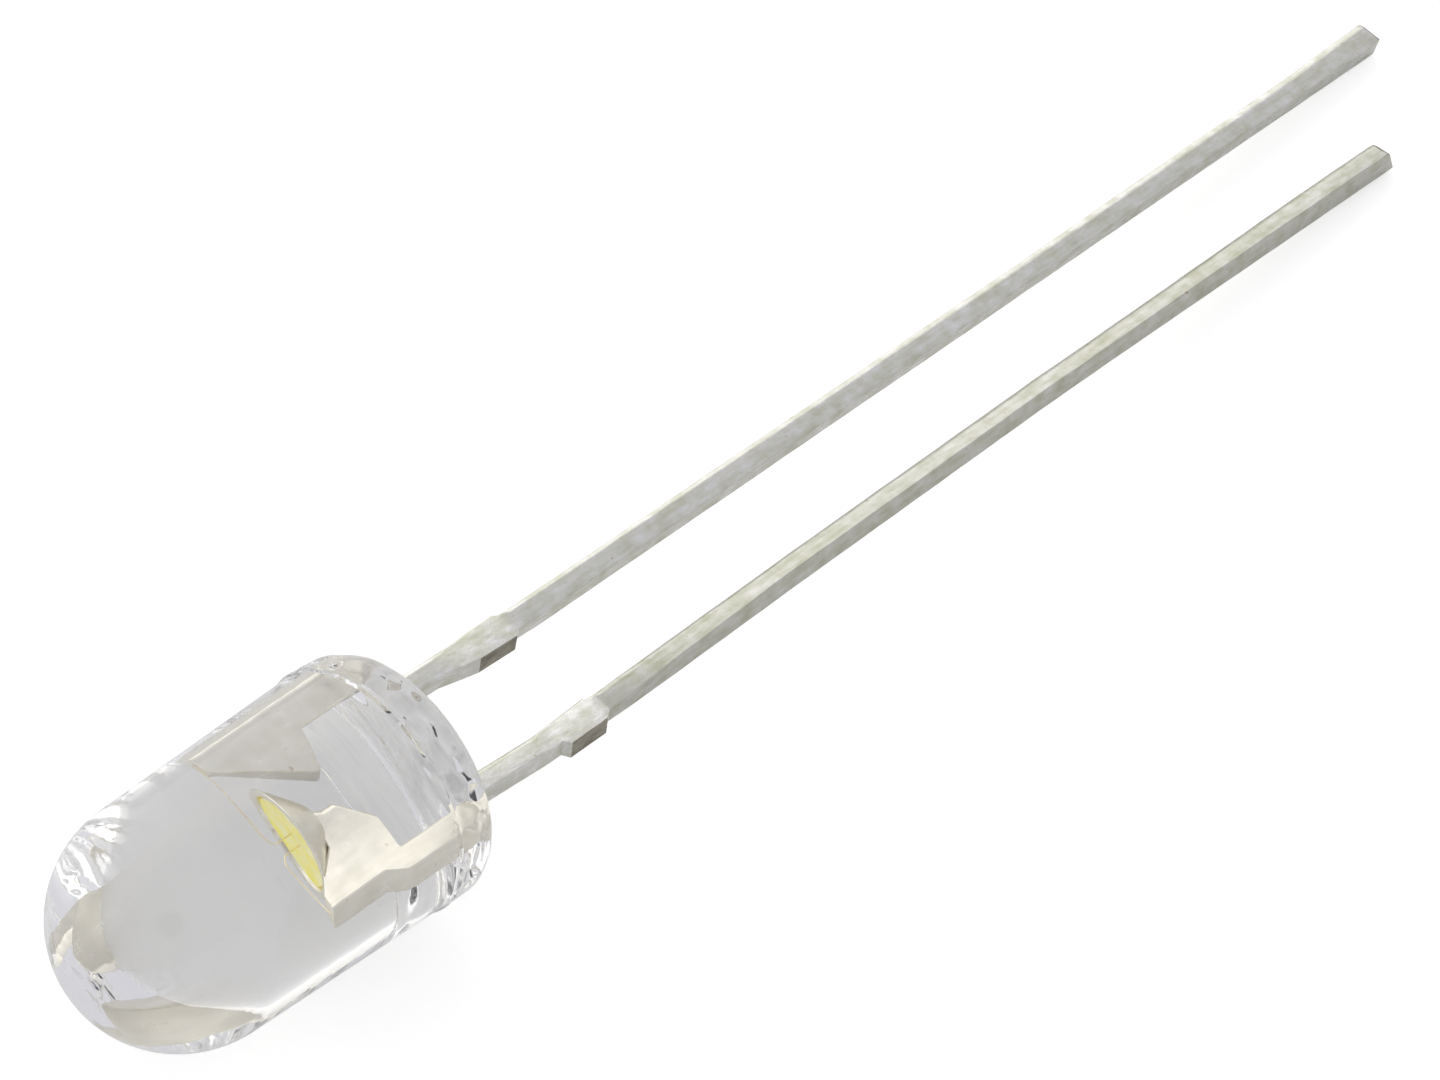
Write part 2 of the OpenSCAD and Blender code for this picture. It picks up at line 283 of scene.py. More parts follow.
tie(given.outputs["Bright"], tone.inputs[COLOUR_B])
tie(specks.outputs["Fac"], speck_cut.inputs["Value"])
tie(speck_cut.outputs["Result"], spotted.inputs[FACTOR])
tie(tone.outputs[COLOUR], spotted.inputs[COLOUR_A])
tie(given.outputs["Speck"], spotted.inputs[COLOUR_B])
tie(spotted.outputs[COLOUR], result.inputs["Color"])
tie(spread.outputs["Result"], finish.inputs[FACTOR])
tie(given.outputs["Rough"], finish.inputs[NUMBER_A])
tie(given.outputs["Smooth"], finish.inputs[NUMBER_B])
tie(finish.outputs[NUMBER], result.inputs["Roughness"])
tie(grain.outputs["Fac"], fine.inputs[0])
tie(streaks.outputs["Fac"], fine.inputs[2])
tie(dents.outputs["Fac"], deep.inputs[0])
tie(fine.outputs[0], deep.inputs[2])
tie(deep.outputs[0], result.inputs["Height"])


def plated(name, bright, dull, speck, smooth, rough, bump):
    """A metal with the shared plated look."""
    mat, surface, add, tie = new_material(name)
    metal = add("ShaderNodeBsdfPrincipled", {"Metallic": 1})
    group = add("ShaderNodeGroup", node_tree=look)
    for socket, colour in (("Bright", bright), ("Dull", dull), ("Speck", speck)):
        group.inputs[socket].default_value = (*colour, 1)
    group.inputs["Smooth"].default_value = smooth
    group.inputs["Rough"].default_value = rough
    relief = add("ShaderNodeBump", {"Strength": bump, "Distance": RELIEF_M})
    tie(group.outputs["Color"], metal.inputs["Base Color"])
    tie(group.outputs["Roughness"], metal.inputs["Roughness"])
    tie(group.outputs["Height"], relief.inputs["Height"])
    tie(relief.outputs[0], metal.inputs["Normal"])
    tie(metal.outputs[0], surface)
    return mat


# ---------------------------------------------------------------------------
# Lead frame: both leads are stamped from one silvered strip. The punch rolls over
# the edges it comes in by, most along +y. After moulding, the leads are dipped in
# tin, and the tie bar is cut out, which leaves its pressed, bare stubs.
LEAD_W = 0.49
STRIP_T = 0.46
STATION = 0.3
# The rolled upper edge and the faint ridge beside it.
ROLL_W = 0.10
ROLL_W_AT_TIP = 0.17
ROLL_W_PRESSED = 0.045
ROLL_W_IN_EPOXY = 0.07
ROLL_W_AT_TOP = 0.06
ROLL_GROWS_DROP = 4
ROLL_GROWS_OVER = 20
ROLL_DROP = 0.024
ROLL_START_TURN = 75
ROLL_START_STEPS = 3
ROLL_STEPS = (0.3, 0.6, 0.85, 1)
ROLL_CURVE = 1.6
ROLL_RIDGE = 0.0035
RIDGE_STARTS = 0.015
RIDGE_ENDS = 0.065
# The other edges.
EDGE_R = 0.035
CUT_EDGE_R = 0.012
EDGE_STEPS = 4
TOP_EDGE_SHARE = 0.8
TOP_EDGE_TURNS = (50, 90)
# The pressed zone of the tie bar, its stubs and their cut faces.
PRESSED_DEPTH = 0.012
PRESSED_RAMP = 0.08
STUB_TOP = -2.5
STUB_END = -4.12
STUB_OUT = 0.17
STUB_LOW_OUT = 0.06
STUB_FOOT = 0.06
CUT_TOP = -2.9
CUT_END = -3.9
CUT_MARGIN = 0.02
CUT_FACE_MARGIN = 0.06
# The tin, uneven along the lead, and the swollen tip with its cut end.
TIN_RUN = 0.8
WANDER = 0.005
WANDER_WAVES = ((0.9, 1), (2.3, 2.7), (4.7, 5.1))
SWELL_DROP = 20
TIP_W = 0.57
TIP_T = 0.56
FLARE_RUN = 3
TIP_BEVEL = 0.09
TIP_BEVEL_DROP = 0.06
TIP_NARROWS = 0.97
TIP_FACE_TURN = -0.35
TIP_SLANT_X = 0.17
# Places in a lead's list of finishes.
TINNED, CUT, SILVERED, PRESSED = 0, 1, 2, 3

lead_low, lead_high = PITCH / 2 - LEAD_W / 2, PITCH / 2 + LEAD_W / 2


def share(value, full):
    """How far a value is from 0 to its full size, kept between 0 and 1."""
    return min(max(value / full, 0), 1)


def ripple(z, seed):
    """A slow wander between -1 and 1 along a lead."""
    return sum(math.sin(z * pace + seed * shift) for pace, shift in WANDER_WAVES) / len(WANDER_WAVES)


def rounded(points, steps=5):
    """An open outline [(across, z, radius), ...] with its corners rounded."""
    result = []
    for k, (y, z, r) in enumerate(points):
        if r == 0:
            result.append((y, z))
            continue
        here = Vector((y, z))
        back = (Vector(points[k - 1][:2]) - here).normalized()
        ahead = (Vector(points[k + 1][:2]) - here).normalized()
        half = back.angle(ahead) / 2
        centre = here + (back + ahead).normalized() * (r / math.sin(half))
        start = here + back * (r / math.tan(half)) - centre
        end = here + ahead * (r / math.tan(half)) - centre
        for n in range(steps + 1):
            way = (start * (1 - n / steps) + end * (n / steps)).normalized()
            result.append(tuple(centre + way * r))
    return result


def moved(points, y):
    """An outline moved across."""
    return [(a + y, z, r) for a, z, r in points]


def at_height(outline, z):
    """How far across an outline is at a height, or how far a lead is bent or turned there."""
    for (y0, z0), (y1, z1) in zip(outline, outline[1:]):
        if z0 <= z <= z1:
            return y0 + (y1 - y0) * (z - z0) / max(z1 - z0, 1e-9)
    return outline[-1][0] if z > outline[-1][1] else outline[0][0]


def lead_sides(tip_z, shoulder, flare):
    """The low and high side of a lead from its tip to above its stubs, its low side at 0."""
    low_side = [
        (0, tip_z, 0), (0, STUB_END, 0),
        (-STUB_OUT, CUT_END, 0), (-STUB_OUT, CUT_TOP, 0), (0, shoulder, 0),
    ]
    high_side = [
        (flare, tip_z, 0), (0, tip_z + FLARE_RUN, 0), (0, CUT_END - STUB_FOOT, 0),
        (STUB_LOW_OUT, CUT_END, 0), (0, STUB_TOP, 0),
    ]
    return low_side, high_side


def arc(centre, radius, start, end, steps):
    """Points on an arc in a section, from start to end in degrees."""
    turns = [math.radians(start + (end - start) * k / steps) for k in range(steps + 1)]
    return [(centre[0] + radius * math.cos(t), centre[1] + radius * math.sin(t)) for t in turns]


def strip_section(z, low, high, half, edge, roll_w, twist=0, lift=0):
    """The strip's section between its sides: one upper edge rolled over, then turned and lifted."""
    drop = ROLL_DROP * roll_w / ROLL_W
    ridge = ROLL_RIDGE * min(roll_w / ROLL_W, 1)
    points = arc((high - edge, half - drop - edge), edge, 0, ROLL_START_TURN, ROLL_START_STEPS)
    y0, x0 = points[-1]
    for t in ROLL_STEPS:
        points.append((y0 + (high - roll_w - y0) * t, half - (half - x0) * (1 - t) ** ROLL_CURVE))
    points += [(high - roll_w - RIDGE_STARTS, half), (high - roll_w - RIDGE_ENDS, half - ridge)]
    points += arc((low + edge, half - ridge - edge), edge, 90, 180, EDGE_STEPS)
    points += arc((low + edge, -half + edge), edge, 180, 270, EDGE_STEPS)
    points += arc((high - edge, -half + edge), edge, 270, 360, EDGE_STEPS)
    middle = (low + high) / 2
    c, s = math.cos(math.radians(twist)), math.sin(math.radians(twist))
    return [(x * c - (y - middle) * s + lift, middle + x * s + (y - middle) * c, z) for y, x in points]


def skin(bm, rings):
    """Skins rings of points with quads, from point or closed end to point or closed end."""
    loops = [[bm.verts.new(p) for p in ring] for ring in rings]
    faces = []
    for low, high in zip(loops, loops[1:]):
        count = max(len(low), len(high))
        for k in range(count):
            n = (k + 1) % count
            if len(low) == 1:
                corners = (low[0], high[n], high[k])
            elif len(high) == 1:
                corners = (low[k], low[n], high[0])
            else:
                corners = (low[k], low[n], high[n], high[k])
            faces.append(bm.faces.new(corners))
    if len(loops[0]) > 1:
        faces.append(bm.faces.new(loops[0][::-1]))
    if len(loops[-1]) > 1:
        faces.append(bm.faces.new(loops[-1]))
    for face in faces:
        face.smooth = True


def stamped(bm, low, high, bends, twists, tip_lift, tip_slant, tin, seed):
    """A lead and what is stamped above it, skinned from its tip to its top."""
    tip_z, top_z = low[0][1], min(low[-1][1], high[-1][1])
    heights = [tip_z + STATION * k for k in range(int((STUB_END - tip_z) / STATION))]
    heights += [z for _, z in low + high if z > tip_z]
    heights += [tip_z + TIP_BEVEL, STUB_END - PRESSED_RAMP, STUB_TOP + PRESSED_RAMP]
    heights += [STUB_TOP + STATION * k for k in range(int((top_z - STUB_TOP) / STATION) + 1)]
    heights = sorted({round(z, 4) for z in heights if z < top_z - EDGE_R / 2})
    rings = []
    for z in heights:
        outside = share(-z, 1)
        pressed = STUB_END <= z <= STUB_TOP
        swell = share(-z - SWELL_DROP, -tip_z - SWELL_DROP)
        coat = tin * share(CUT_END - z, TIN_RUN) * (1 - swell)
        shift = at_height(bends, z)
        grow = (TIP_W - LEAD_W) / 2 * swell + coat
        wander = WANDER * outside if z > tip_z else 0
        half = STRIP_T / 2 + (TIP_T - STRIP_T) / 2 * swell + wander * (ripple(z, seed + 7) - 1)
        roll = ROLL_W + (ROLL_W_AT_TIP - ROLL_W) * share(-z - ROLL_GROWS_DROP, ROLL_GROWS_OVER)
        if pressed:
            roll = ROLL_W_PRESSED
            half -= PRESSED_DEPTH
        rings.append(strip_section(
            z,
            at_height(low, z) + shift - grow + wander * ripple(z, seed),
            at_height(high, z) + shift + grow + wander * ripple(z, seed + 3),
            half,
            CUT_EDGE_R if pressed else EDGE_R,
            roll * outside + ROLL_W_IN_EPOXY * (1 - outside),
            at_height(twists, z),
            tip_lift * z / tip_z if z < 0 else 0,
        ))
    middle = at_height(bends, tip_z) + (low[0][0] + high[0][0]) / 2
    rings[0] = [
        (x - TIP_BEVEL_DROP * share(x, TIP_T / 2), middle + (y - middle) * TIP_NARROWS, z)
        for x, y, z in rings[0]
    ]
    for k in (0, 1):
        rings[k] = [(x, y, z + tip_slant * (x + TIP_T / 2 - TIP_SLANT_X)) for x, y, z in rings[k]]
    for turn in TOP_EDGE_TURNS:
        inset = EDGE_R * (1 - math.cos(math.radians(turn)))
        rings.append(strip_section(
            top_z - EDGE_R * (1 - math.sin(math.radians(turn))),
            at_height(low, top_z - EDGE_R) + inset,
            at_height(high, top_z - EDGE_R) - inset,
            STRIP_T / 2 - inset,
            EDGE_R * TOP_EDGE_SHARE,
            ROLL_W_AT_TOP,
        ))
    skin(bm, rings)


def mark_sharp(bm, degrees):
    """Keeps the edges crisp where two faces meet at more than the angle."""
    bmesh.ops.recalc_face_normals(bm, faces=bm.faces)
    for edge in bm.edges:
        if len(edge.link_faces) == 2:
            edge.smooth = edge.calc_face_angle() < math.radians(degrees)


def sort_metal(bm, cut_y, pressed):
    """Sorts the faces by finish: tinned, cut, silver in the epoxy, or as given in the pressed zone."""
    bm.normal_update()
    for face in bm.faces:
        middle = face.calc_center_median()
        on_stub = (
            CUT_END - CUT_MARGIN < middle.z < CUT_TOP + CUT_MARGIN
            and abs(middle.y - cut_y) < CUT_FACE_MARGIN
        )
        on_tip = face.normal.z < TIP_FACE_TURN and middle.z < STUB_END
        if on_stub or on_tip:
            face.material_index = CUT
        elif middle.z > 0:
            face.material_index = SILVERED
        elif middle.z > STUB_END:
            face.material_index = pressed


cut_steel = plated(
    "cut_steel",
    bright=(0.40, 0.375, 0.31), dull=(0.22, 0.205, 0.17), speck=(0.05, 0.04, 0.03),
    smooth=0.40, rough=0.60, bump=0.6,
)
silver_plate = plated(
    "silver_plate",
    bright=(0.935, 0.905, 0.805), dull=(0.855, 0.825, 0.72), speck=(0.60, 0.50, 0.36),
    smooth=0.26, rough=0.36, bump=0.2,
)
tin_plate = plated(
    "tin_plate",
    bright=(0.80, 0.79, 0.78), dull=(0.57, 0.575, 0.47), speck=(0.50, 0.44, 0.32),
    smooth=0.24, rough=0.36, bump=0.5,
)

# ---------------------------------------------------------------------------
# The anode: the longer lead. Above the base the same strip slants up to a toe and
# a narrow post, which takes the bond wire. Bends are (across, height) and twists
# are (degrees, height), left from handling.
POST_H = 3.74
POST_TOP_W = 0.34
POST_TOE = (0.45, 2.06, 0.12)
POST_ROOT_H = 1.7
POST_ROOT_R = 0.15
ANODE_SHOULDER = -2.0
ANODE_FLARE = 0.07
ANODE_TIN = 0.012
ANODE_SEED = 1.7
ANODE_STUB_GAP = 0.08
ANODE_BENDS = [(0.13, -ANODE_LEN), (0, -20), (-0.08, -4.5), (0, -1.5)]
ANODE_TWISTS = [
    (0, -ANODE_LEN), (-3, -25), (-3, -4.2), (6, CUT_END), (9, -3.2), (5, STUB_TOP),
    (0, -2), (0, 0), (-5, 0.6), (-5, 4),
]

low_side, high_side = lead_sides(-ANODE_LEN, ANODE_SHOULDER, ANODE_FLARE)
low_side = moved(low_side, lead_low)
low_side += [(lead_low, POST_ROOT_H, POST_ROOT_R), POST_TOE, (lead_high - POST_TOP_W, POST_H, 0)]
high_side = moved(high_side, lead_high) + [(lead_high, POST_H, 0)]
bm = bmesh.new()
stamped(
    bm, rounded(low_side), rounded(high_side), ANODE_BENDS, ANODE_TWISTS,
    tip_lift=0, tip_slant=0, tin=ANODE_TIN, seed=ANODE_SEED,
)
mark_sharp(bm, degrees=32)
sort_metal(bm, lead_low - STUB_OUT - ANODE_STUB_GAP, pressed=TINNED)
piece("anode_metal", bm, [tin_plate, cut_steel, silver_plate], "anode_lead")

# ---------------------------------------------------------------------------
# The cathode: the shorter lead, with duller tin and a slanted cut end. It carries
# the anvil: a heel and a toe under the cup, a step, and an ear beside the cup's
# rim that takes the bond wire. The cup is pressed into the anvil.
ANVIL_CORNER_R = 0.1
ANVIL_FOOT_H = 1.78
ANVIL_HEEL_Y = -0.42
ANVIL_HEEL_RISE = 0.01
ANVIL_TOE = (0.04, 2.36, 0.12)
ANVIL_NECK_DROP = 0.14
ANVIL_NECK_R = 0.05
ANVIL_IN = 0.23
ANVIL_STEP_H = 1.88
EAR_H = 3.68
EAR_W = 0.27
# The cup.
CUP_RIM_H = 3.45
CUP_RIM_R = 0.76
CUP_RIM_DROP = 0.02
CUP_LIP_R = 0.015
CUP_LIP_R_INSIDE = 0.012
CUP_MOUTH_R = 0.65
CUP_FLOOR_R = 0.36
CUP_FLOOR_EDGE_R = 0.05
CUP_DEPTH = 0.43
CUP_BASE_T = 0.22
CUP_FOOT_R = 0.25
CUP_BEND_R = 0.24
CUP_LIP_STEPS = 4
CUP_STEPS = 144
# The lead below it.
CATHODE_SHOULDER = -2.8
CATHODE_FLARE = -0.03
CATHODE_TIP_LIFT = 0.065
CATHODE_TIP_SLANT = 0.48
CATHODE_TIN = 0.004
CATHODE_SEED = 4.1
CATHODE_STUB_GAP = 0.1
CATHODE_BENDS = [
    (0, -CATHODE_LEN), (0.045, -18), (-0.02, -10), (-0.10, -4.5), (-0.10, -2.4), (0, -0.5),
]
CATHODE_TWISTS = [
    (14, -CATHODE_LEN), (20, -24), (20, -9), (12, -6), (1, -4.2), (10, CUT_END), (12, -3.2),
    (6, STUB_TOP), (8, -1.6), (3, -0.2), (0, 0.6), (2, 2), (2, 4),
]


def ring(radius, z, steps):
    """A level ring of points round the axis, or the one point on it."""
    if radius == 0:
        return [(0, 0, z)]
    turns = [2 * math.pi * k / steps for k in range(steps)]
    return [(radius * math.cos(t), radius * math.sin(t), z) for t in turns]


cup_floor = CUP_RIM_H - CUP_DEPTH
cup_foot = cup_floor - CUP_BASE_T
anvil_out = -lead_high + ANVIL_IN
# The anvil's own side where it runs unseen inside the cup's wall.
IN_CUP_WALL = [
    (CUP_FOOT_R / 2, cup_foot + 0.06, 0),
    (-0.2, cup_floor - 0.08, 0),
    (-CUP_FLOOR_R - 0.05, cup_floor - 0.02, 0),
    (-CUP_MOUTH_R - 0.05, CUP_RIM_H - 0.02, 0),
]
low_side, high_side = lead_sides(-CATHODE_LEN, CATHODE_SHOULDER, CATHODE_FLARE)
low_side = moved(low_side, -lead_high) + [
    (-lead_high, ANVIL_STEP_H, ANVIL_CORNER_R),
    (anvil_out, ANVIL_STEP_H + 2 * ANVIL_IN, ANVIL_CORNER_R),
    (anvil_out, EAR_H, 0),
]
high_side = moved(high_side, -lead_low) + [
    (-lead_low, ANVIL_FOOT_H, ANVIL_CORNER_R),
    (ANVIL_HEEL_Y, ANVIL_FOOT_H + ANVIL_HEEL_RISE, ANVIL_CORNER_R),
    ANVIL_TOE,
    (ANVIL_TOE[0], cup_foot - ANVIL_NECK_DROP, ANVIL_NECK_R),
    *IN_CUP_WALL,
    (anvil_out + EAR_W, EAR_H, 0),
]
bm = bmesh.new()
stamped(
    bm, rounded(low_side), rounded(high_side), CATHODE_BENDS, CATHODE_TWISTS,
    tip_lift=CATHODE_TIP_LIFT, tip_slant=CATHODE_TIP_SLANT, tin=CATHODE_TIN, seed=CATHODE_SEED,
)
rim_z = CUP_RIM_H - CUP_RIM_DROP
cup = rounded([(0, cup_foot, 0), (CUP_FOOT_R, cup_foot, CUP_BEND_R), (CUP_RIM_R, rim_z, 0)], steps=10)
lip = (CUP_RIM_R - CUP_LIP_R, CUP_RIM_H - CUP_LIP_R)
lip_inside = (CUP_MOUTH_R + CUP_LIP_R_INSIDE, CUP_RIM_H - CUP_LIP_R_INSIDE)
cup += arc(lip, CUP_LIP_R, 0, 90, CUP_LIP_STEPS)
cup += arc(lip_inside, CUP_LIP_R_INSIDE, 90, 150, CUP_LIP_STEPS)
cup += rounded(
    [(CUP_MOUTH_R, rim_z, 0), (CUP_FLOOR_R, cup_floor, CUP_FLOOR_EDGE_R), (0, cup_floor, 0)], steps=6,
)
skin(bm, [ring(max(r, 0), z, CUP_STEPS) for r, z in cup])
mark_sharp(bm, degrees=32)
sort_metal(bm, -lead_high - STUB_OUT - CATHODE_STUB_GAP, pressed=PRESSED)

tin_worn = plated(
    "tin_worn",
    bright=(0.65, 0.645, 0.62), dull=(0.47, 0.475, 0.375), speck=(0.40, 0.34, 0.24),
    smooth=0.26, rough=0.38, bump=0.5,
)
cathode_finishes = [tin_worn, cut_steel, silver_plate, tin_plate]
piece("cathode_metal", bm, cathode_finishes, "cathode_lead")

# ---------------------------------------------------------------------------
# The chip and its glue, on the floor of the cup: polished sapphire with a faintly
# mottled face, set on a thin milky layer of glue. Both keep their plain solids.
CHIP_AND_GLUE_T = 0.12
CHIP_BLUE = (0.30, 0.38, 0.52, 1)
CHIP_PALE = (0.62, 0.70, 0.80, 1)
GLUE_MILK = (0.78, 0.77, 0.72, 1)
GLUE_PALE = (0.92, 0.91, 0.87, 1)

chip_top = cup_floor + CHIP_AND_GLUE_T


def mottled(node, name, finish, texture, sizes, first, second):
    """Dresses a plain solid in a material that varies between two colours."""
    mat, surface, add, tie = new_material(name)
    body = add("ShaderNodeBsdfPrincipled", finish)
    where = add("ShaderNodeTexCoord")
    mottle = add(texture, sizes)
    tone = add("ShaderNodeMix", {COLOUR_A: first, COLOUR_B: second}, data_type="RGBA")
    tie(where.outputs["Object"], mottle.inputs["Vector"])
    tie(mottle.outputs[0], tone.inputs[FACTOR])
    tie(tone.outputs[COLOUR], body.inputs["Base Color"])
    tie(body.outputs[0], surface)
    frame["nodes"][node].data.materials.clear()
    frame["nodes"][node].data.materials.append(mat)


mottled(
    "led_die", "chip", {"Roughness": 0.15, "Coat Weight": 0.5},
    "ShaderNodeTexVoronoi", {"Scale": 16000}, CHIP_BLUE, CHIP_PALE,
)
mottled(
    "die_attach", "chip_glue", {"Roughness": 0.45},
    "ShaderNodeTexNoise", {"Scale": 9000, "Detail": 3}, GLUE_MILK, GLUE_PALE,
)

# ---------------------------------------------------------------------------
# Bond wires: fine gold wire, welded to the chip as a ball, bent over in a loop
# and stitched flat on to the post and the ear. The ball is (height, share of its
# radius), the stitch is (along, drop, share of the wire's thickness).
WIRE_R = 0.0105
WIRE_SIDES = 16
PAD_Y = 0.09
BALL_R = 0.04
BALL = ((0, 0.3), (0.004, 1), (0.016, 1), (0.021, 0.6))
NECK = (0.03, 0.2)
LOOP_RISE = 0.26
LOOP_R = 0.16
LOOP_STEPS = 12
SPAN_STEPS = 16
SPAN_CROWN = 0.02
STITCH_HALF = 0.035
STITCH = ((-0.03, 0, 0.9), (0, 0.004, 0.6), (0.04, 0.009, 0.25))


def wire(bm, land_y, land_z, way):
    """One bond wire towards +y or -y, as a tube that starts as a ball and ends as a stitch."""
    land = Vector((land_y, land_z + WIRE_R))
    centre = Vector((PAD_Y + LOOP_R, CUP_RIM_H + LOOP_RISE))
    reach = land - centre
    leave = math.degrees(math.atan2(reach.y, reach.x)) + math.degrees(math.acos(LOOP_R / reach.length))
    path = [(Vector((PAD_Y, chip_top + up)), ball, 1) for up, ball in BALL]
    path += [(Vector((PAD_Y, chip_top + up)), 0, 1) for up in NECK]
    path += [(Vector(p), 0, 1) for p in arc(centre, LOOP_R, 180, leave, LOOP_STEPS)]
    start = path[-1][0]
    for k in range(1, SPAN_STEPS - 1):
        t = k / SPAN_STEPS
        path.append((start.lerp(land, t) + Vector((0, SPAN_CROWN * math.sin(math.pi * t))), 0, 1))
    path += [(land + Vector((along, -drop)), 0, flat) for along, drop, flat in STITCH]
    rings = []
    for k, (point, ball, flat) in enumerate(path):
        ahead = path[min(k + 1, len(path) - 1)][0] - path[max(k - 1, 0)][0]
        ahead.normalize()
        across = Vector((ahead.y, -ahead.x))
        size = WIRE_R + (BALL_R - WIRE_R) * ball
        wide = size * (1 + (STITCH_HALF / WIRE_R - 1) * (1 - flat))
        ring_points = []
        for n in range(WIRE_SIDES):
            turn = 2 * math.pi * n / WIRE_SIDES
            around = point + across * (size * flat * math.sin(turn))
            ring_points.append((wide * math.cos(turn) * way, around.x * way, around.y))
        rings.append(ring_points)
    skin(bm, rings)


gold = plated(
    "gold_wire",
    bright=(0.95, 0.86, 0.62), dull=(0.88, 0.76, 0.50), speck=(0.55, 0.40, 0.20),
    smooth=0.18, rough=0.30, bump=0.05,
)
for name, land_y, land_z, way, node in (
    ("anode_wire", lead_high - POST_TOP_W / 2, POST_H, 1, "anode_bond_wire"),
    ("cathode_wire", -anvil_out - EAR_W / 2, EAR_H, -1, "cathode_bond_wire"),
):
    bm = bmesh.new()
    wire(bm, land_y, land_z, way)
    mark_sharp(bm, degrees=60)
    piece(name, bm, [gold], node)


# ---------------------------------------------------------------------------
# Phosphor: yellow powder in clear silicone, poured into the cup. It stands a
# little below the rim, wets the wall and dips towards the middle. It carries a
# painted glow: it gives off a little light of its own colour, as phosphor does in daylight.
FILL_DROP = 0.06
FILL_DISH = 0.03
FILL_CREEP = 0.012
FILL_CREEP_RUN = 0.03
FILL_OVERLAP = 0.001
FILL_FOOT_IN = 0.02
FILL_RINGS = 24
FILL_SPACING = 1.4
FILL_PAINTED_GLOW = 0.34
POWDER = (0.90, 0.80, 0.07, 1)
POWDER_PALE = (0.95, 0.88, 0.18, 1)
SILICONE_CLOUD = (0.92, 0.90, 0.58, 1)

fill_foot = cup_floor + FILL_OVERLAP
fill_top = CUP_RIM_H - FILL_DROP
fill_r = CUP_FLOOR_R + (CUP_MOUTH_R - CUP_FLOOR_R) * (fill_top - cup_floor) / CUP_DEPTH
fill = [(0, fill_foot), (CUP_FLOOR_R - FILL_FOOT_IN, fill_foot)]
fill += [(fill_r + FILL_OVERLAP, fill_top + FILL_CREEP)]
for k in range(1, FILL_RINGS + 1):
    r = fill_r * (1 - (k / FILL_RINGS) ** FILL_SPACING)
    dish = FILL_DISH * (1 - (r / fill_r) ** 2)
    fill.append((r, fill_top - dish + FILL_CREEP * math.exp((r - fill_r) / FILL_CREEP_RUN)))
bm = bmesh.new()
skin(bm, [ring(r, z, CUP_STEPS) for r, z in fill])
mark_sharp(bm, degrees=50)

mat, surface, add, tie = new_material("phosphor_silicone")
# Its emission is a painted glow in the powder's own colour.
powder = add("ShaderNodeBsdfPrincipled", {
    "Roughness": 0.5, "Coat Weight": 1, "Coat Roughness": 0.12, "Emission Strength": FILL_PAINTED_GLOW,
})
where = add("ShaderNodeTexCoord")
grains = add("ShaderNodeTexVoronoi", {"Scale": 30000})
cloud = add("ShaderNodeTexNoise", {"Scale": 3500, "Detail": 4})
grain_tone = add("ShaderNodeMix", {COLOUR_A: POWDER, COLOUR_B: POWDER_PALE}, data_type="RGBA")
cloud_tone = add("ShaderNodeMix", {COLOUR_B: SILICONE_CLOUD}, data_type="RGBA")
cloud_cut = add("ShaderNodeMapRange", {"From Min": 0.42, "From Max": 0.66, "To Max": 0.7})
relief = add("ShaderNodeBump", {"Strength": 0.15, "Distance": 0.000005})
tie(where.outputs["Object"], grains.inputs["Vector"])
tie(where.outputs["Object"], cloud.inputs["Vector"])
tie(grains.outputs["Distance"], grain_tone.inputs[FACTOR])
tie(cloud.outputs["Fac"], cloud_cut.inputs["Value"])
tie(cloud_cut.outputs["Result"], cloud_tone.inputs[FACTOR])
tie(grain_tone.outputs[COLOUR], cloud_tone.inputs[COLOUR_A])
tie(cloud_tone.outputs[COLOUR], powder.inputs["Base Color"])
tie(cloud_tone.outputs[COLOUR], powder.inputs["Emission Color"])
tie(grains.outputs["Distance"], relief.inputs["Height"])
tie(relief.outputs[0], powder.inputs["Normal"])
tie(powder.outputs[0], surface)
piece("phosphor_pool", bm, [mat], "phosphor_fill")

# ---------------------------------------------------------------------------
# The epoxy body: clear epoxy, cast last round everything above, in a mould whose
# rim leaves a small step. Below the step is the free surface of the casting,
# which sank and rippled as it cured, and creeps up at its rim and the leads.
SKIN = 0.004
NOSE_R = 2.5 - SKIN
BASE_R = 2.7 - SKIN
BODY_H = 8.3 - SKIN
BASE_EDGE_R = 0.5
EDGE_RISE = 0.5
EDGE_RISE_ANODE = 0.20
STEP_H = 1.05
STEP_IN = 0.045
STEP_RUN = 0.05
EDGE_RIPPLE = 0.045
EDGE_RIPPLE_MEAN = 0.5
CALM_BELOW_STEP = 0.12
CALM_ABOVE_BASE = 0.3
RIPPLE_LENGTH = 0.42
RIPPLE_AT = Vector((2, -7, 13))
BASE_SINK = 0.12
BASE_WAVE = 0.06
RIM_CREEP = 0.25
LEAD_CREEP = 0.28
LEAD_WET = 0.02
STEPS_ROUND = 360
BASE_RINGS, EDGE_RINGS, FREE_RINGS, WALL_RINGS, NOSE_RINGS = 64, 24, 30, 20, 64
EPOXY_TINT = (0.968, 0.968, 0.992, 1)
EPOXY_TINT_PALE = (0.982, 0.982, 0.99, 1)

nose_z = BODY_H - NOSE_R
wall_foot = (BASE_R - STEP_IN, STEP_H + STEP_RUN)
rise = nose_z - wall_foot[1]
lean = math.atan2(wall_foot[0], rise) - math.asin(NOSE_R / math.hypot(wall_foot[0], rise))
wall_top = (NOSE_R * math.cos(lean), nose_z + NOSE_R * math.sin(lean))
rim_r = BASE_R - BASE_EDGE_R


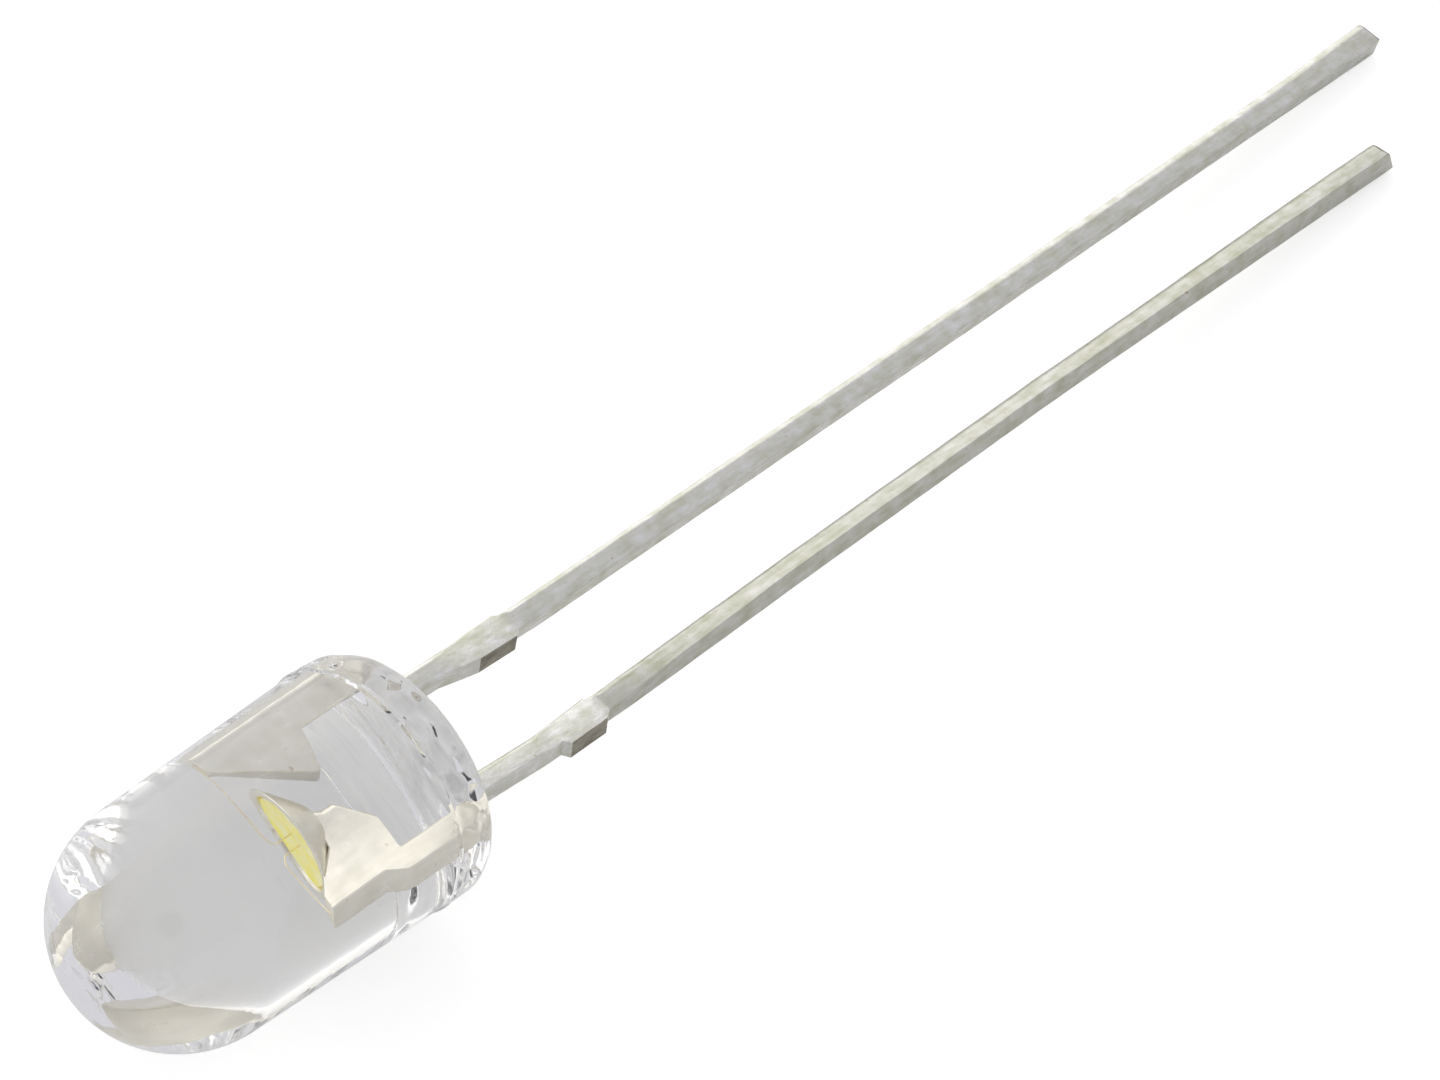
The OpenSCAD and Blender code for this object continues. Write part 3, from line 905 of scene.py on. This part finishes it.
def cure_ripple(x, y, z):
    """The ripple of the free surface at a point, between -1 and 1."""
    return noise.noise((Vector((x, y, z)) + RIPPLE_AT) / RIPPLE_LENGTH)


def base_height(x, y):
    """Height of the cast base above the plane of its rim."""
    from_rim = rim_r - math.hypot(x, y)
    sunk = 1 - math.exp(-max(from_rim, 0) / RIM_CREEP)
    for side in (-1, 1):
        from_face = max(abs(x) - STRIP_T / 2, 0)
        from_side = max(abs(y - side * PITCH / 2) - LEAD_W / 2, 0)
        sunk *= 1 - math.exp(-(math.hypot(from_face, from_side) + LEAD_WET) / LEAD_CREEP)
    return BASE_SINK * sunk + BASE_WAVE * (1 + cure_ripple(x, y, 0)) * sunk


def free_point(r, z, turn):
    """A point of the wall below the step, with its ripple."""
    lively = share(STEP_H - z, CALM_BELOW_STEP) * share(z, CALM_ABOVE_BASE)
    ripple_here = cure_ripple(r * math.cos(turn), r * math.sin(turn), z)
    r -= EDGE_RIPPLE * lively * (EDGE_RIPPLE_MEAN + ripple_here)
    return (r * math.cos(turn), r * math.sin(turn), z)


rings = []
turns = [2 * math.pi * k / STEPS_ROUND for k in range(STEPS_ROUND)]
for k in range(BASE_RINGS):
    level = ring(rim_r * k / BASE_RINGS, 0, STEPS_ROUND)
    rings.append([(x, y, base_height(x, y)) for x, y, _ in level])
for k in range(EDGE_RINGS + 1):
    t = math.radians(90 * k / EDGE_RINGS)
    rings.append([
        free_point(
            rim_r + BASE_EDGE_R * math.sin(t),
            (EDGE_RISE + EDGE_RISE_ANODE * max(math.sin(turn), 0) ** 2) * (1 - math.cos(t)),
            turn,
        )
        for turn in turns
    ])
edge_top = rings[-1]
for k in range(1, FREE_RINGS + 1):
    rings.append([
        free_point(BASE_R, z + (STEP_H - z) * k / FREE_RINGS, turn)
        for (_, _, z), turn in zip(edge_top, turns)
    ])
wall = [
    tuple(low + (high - low) * k / WALL_RINGS for low, high in zip(wall_foot, wall_top))
    for k in range(WALL_RINGS)
]
wall += arc((0, nose_z), NOSE_R, math.degrees(lean), 90, NOSE_RINGS)[:-1]
wall += [(0, BODY_H)]
rings += [ring(r, z, STEPS_ROUND) for r, z in wall]
bm = bmesh.new()
skin(bm, rings)
mark_sharp(bm, degrees=25)

mat, surface, add, tie = new_material("clear_epoxy")
epoxy = add("ShaderNodeBsdfPrincipled", {"IOR": 1.53, "Transmission Weight": 1})
where = add("ShaderNodeTexCoord")
haze = add("ShaderNodeTexNoise", {"Scale": 900, "Detail": 3})
mould = add("ShaderNodeTexNoise", {"Scale": 2200, "Detail": 2})
tone = add("ShaderNodeMix", {COLOUR_A: EPOXY_TINT, COLOUR_B: EPOXY_TINT_PALE}, data_type="RGBA")
wiped = add("ShaderNodeMapRange", {"From Min": 0.35, "From Max": 0.75, "To Max": 0.04})
relief = add("ShaderNodeBump", {"Strength": 0.5, "Distance": 0.000004})
tie(where.outputs["Object"], haze.inputs["Vector"])
tie(where.outputs["Object"], mould.inputs["Vector"])
tie(haze.outputs["Fac"], tone.inputs[FACTOR])
tie(haze.outputs["Fac"], wiped.inputs["Value"])
tie(mould.outputs["Fac"], relief.inputs["Height"])
tie(tone.outputs[COLOUR], epoxy.inputs["Base Color"])
tie(wiped.outputs["Result"], epoxy.inputs["Roughness"])
tie(relief.outputs[0], epoxy.inputs["Normal"])
tie(epoxy.outputs[0], surface)
piece("epoxy_lens", bm, [mat], "epoxy_body")
